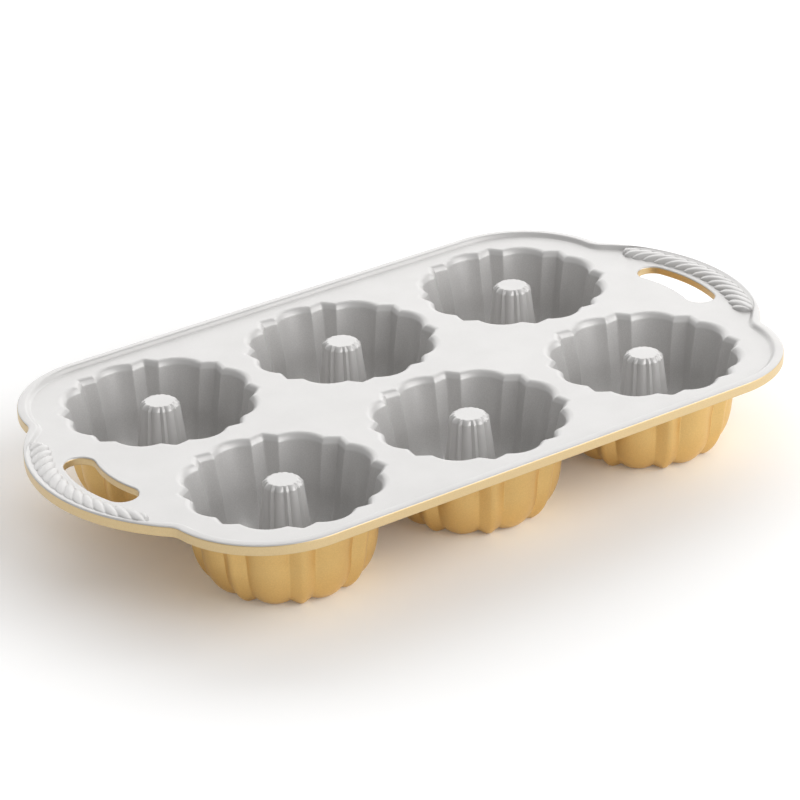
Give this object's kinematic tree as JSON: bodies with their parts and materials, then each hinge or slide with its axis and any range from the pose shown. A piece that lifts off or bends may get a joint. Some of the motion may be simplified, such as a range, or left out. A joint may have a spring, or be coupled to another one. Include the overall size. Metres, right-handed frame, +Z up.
{
  "type": "mini fluted tube pan",
  "caption": "Cast baking pan with rows of small fluted wells, each with a ribbed centre tube, a raised edge lip and slotted end handles trimmed with twisted rope.",
  "frame": {"origin": "on the floor under the middle of the pan", "axes": "+X along the pan from handle to handle, +Y across it, +Z up out of the wells"},
  "size_m": [0.4304, 0.249, 0.0541],
  "materials": {
    "silver_coat": "satin non-stick coat",
    "gold_coat": "satin coat"
  },
  "bodies": {
    "root": {"deck": "silver_coat", "handle_left": "silver_coat", "handle_right": "silver_coat", "rim_far": "silver_coat", "rim_near": "silver_coat", "rope_left": "silver_coat", "rope_right": "silver_coat", "well_near_left": "gold_coat", "well_near_mid": "gold_coat", "well_near_right": "gold_coat", "well_far_left": "gold_coat", "well_far_mid": "gold_coat", "well_far_right": "gold_coat", "tube_near_left": "silver_coat", "tube_near_mid": "silver_coat", "tube_near_right": "silver_coat", "tube_far_left": "silver_coat", "tube_far_mid": "silver_coat", "tube_far_right": "silver_coat"}
  },
  "joints": []
}
